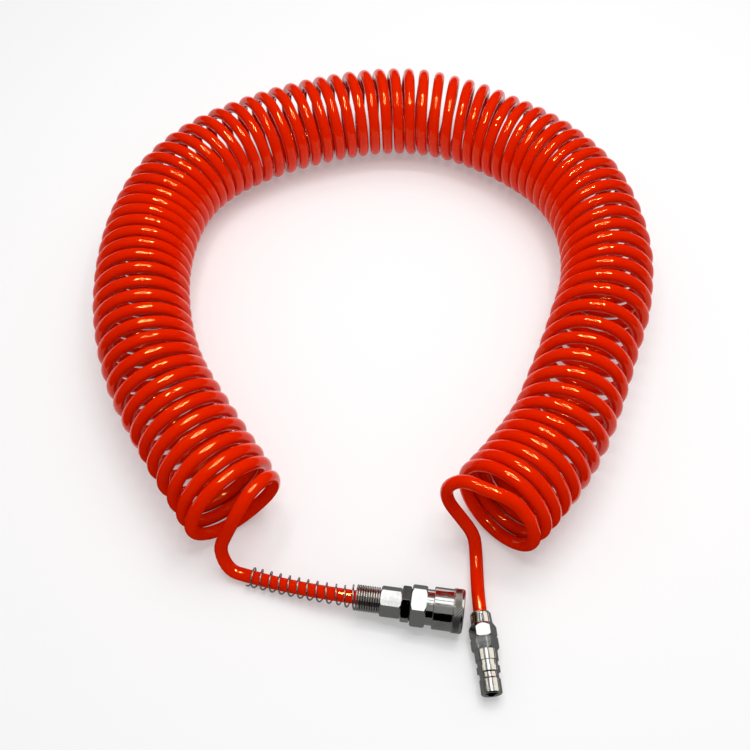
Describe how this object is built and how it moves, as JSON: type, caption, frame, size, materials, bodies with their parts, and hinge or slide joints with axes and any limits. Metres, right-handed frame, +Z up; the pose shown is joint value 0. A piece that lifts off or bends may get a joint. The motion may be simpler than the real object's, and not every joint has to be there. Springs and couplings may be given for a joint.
{
  "type": "coiled air hose",
  "caption": "Coiled polyurethane air hose lying in a horseshoe, with a quick-release coupler socket behind a bend-guard spring at one end and its plug at the other.",
  "frame": {"origin": "centre of the coupler socket's mouth, on the socket's axis", "axes": "+X along the socket's axis and out of its mouth, +Z up; the part lies on a surface 12.8 mm below the origin"},
  "size_m": [0.3891, 0.472, 0.0656],
  "materials": {
    "hose": "glossy orange-red polyurethane, slightly translucent",
    "plating": "bright nickel plating over steel",
    "spring_wire": "drawn spring wire, plated",
    "ring_steel": "spring steel",
    "ball_steel": "polished bearing steel",
    "valve_brass": "turned brass",
    "seal": "black nitrile rubber"
  },
  "bodies": {
    "hose_and_fittings": {"hose_coil": "hose", "hose_tail_socket": "hose", "hose_tail_plug": "hose", "bend_guard_spring": "spring_wire", "socket_hose_nut": "plating", "socket_rear_adapter": "plating", "adapter_gasket": "seal", "socket_body": "plating", "plug_seal_ring": "seal", "sleeve_retaining_ring": "ring_steel", "sleeve_spring": "spring_wire", "valve_spring": "spring_wire", "plug_body": "plating", "plug_hose_nut": "plating"},
    "sleeve": {"coupling_sleeve": "plating"},
    "valve": {"valve_poppet": "valve_brass", "valve_seal_ring": "seal"},
    "ball_1": {"lock_ball_1": "ball_steel"},
    "ball_2": {"lock_ball_2": "ball_steel"},
    "ball_3": {"lock_ball_3": "ball_steel"},
    "ball_4": {"lock_ball_4": "ball_steel"},
    "ball_5": {"lock_ball_5": "ball_steel"},
    "ball_6": {"lock_ball_6": "ball_steel"}
  },
  "joints": [
    {"name": "sleeve_slide", "type": "slide", "parent": "hose_and_fittings", "child": "sleeve", "axis": [-1, 0, 0], "range_m": [0, 0.004], "stiffness_N_per_m": 1200, "springref_m": -0.004, "deforming": ["sleeve_spring"]},
    {"name": "valve_slide", "type": "slide", "parent": "hose_and_fittings", "child": "valve", "axis": [-1, 0, 0], "range_m": [0, 0.004], "stiffness_N_per_m": 300, "springref_m": -0.003, "deforming": ["valve_spring"]},
    {"name": "ball_1_slide", "type": "slide", "parent": "hose_and_fittings", "child": "ball_1", "axis": [0, -0.0262, 0.9997], "range_m": [0, 0.001]},
    {"name": "ball_2_slide", "type": "slide", "parent": "hose_and_fittings", "child": "ball_2", "axis": [0, -0.8788, 0.4772], "range_m": [0, 0.001]},
    {"name": "ball_3_slide", "type": "slide", "parent": "hose_and_fittings", "child": "ball_3", "axis": [0, -0.8526, -0.5225], "range_m": [0, 0.001]},
    {"name": "ball_4_slide", "type": "slide", "parent": "hose_and_fittings", "child": "ball_4", "axis": [0, 0.0262, -0.9997], "range_m": [0, 0.001]},
    {"name": "ball_5_slide", "type": "slide", "parent": "hose_and_fittings", "child": "ball_5", "axis": [0, 0.8788, -0.4772], "range_m": [0, 0.001]},
    {"name": "ball_6_slide", "type": "slide", "parent": "hose_and_fittings", "child": "ball_6", "axis": [0, 0.8526, 0.5225], "range_m": [0, 0.001]}
  ],
  "couplings": [
    {"joint": "ball_1_slide", "follows": "sleeve_slide", "ratio": 0.25},
    {"joint": "ball_2_slide", "follows": "sleeve_slide", "ratio": 0.25},
    {"joint": "ball_3_slide", "follows": "sleeve_slide", "ratio": 0.25},
    {"joint": "ball_4_slide", "follows": "sleeve_slide", "ratio": 0.25},
    {"joint": "ball_5_slide", "follows": "sleeve_slide", "ratio": 0.25},
    {"joint": "ball_6_slide", "follows": "sleeve_slide", "ratio": 0.25}
  ]
}
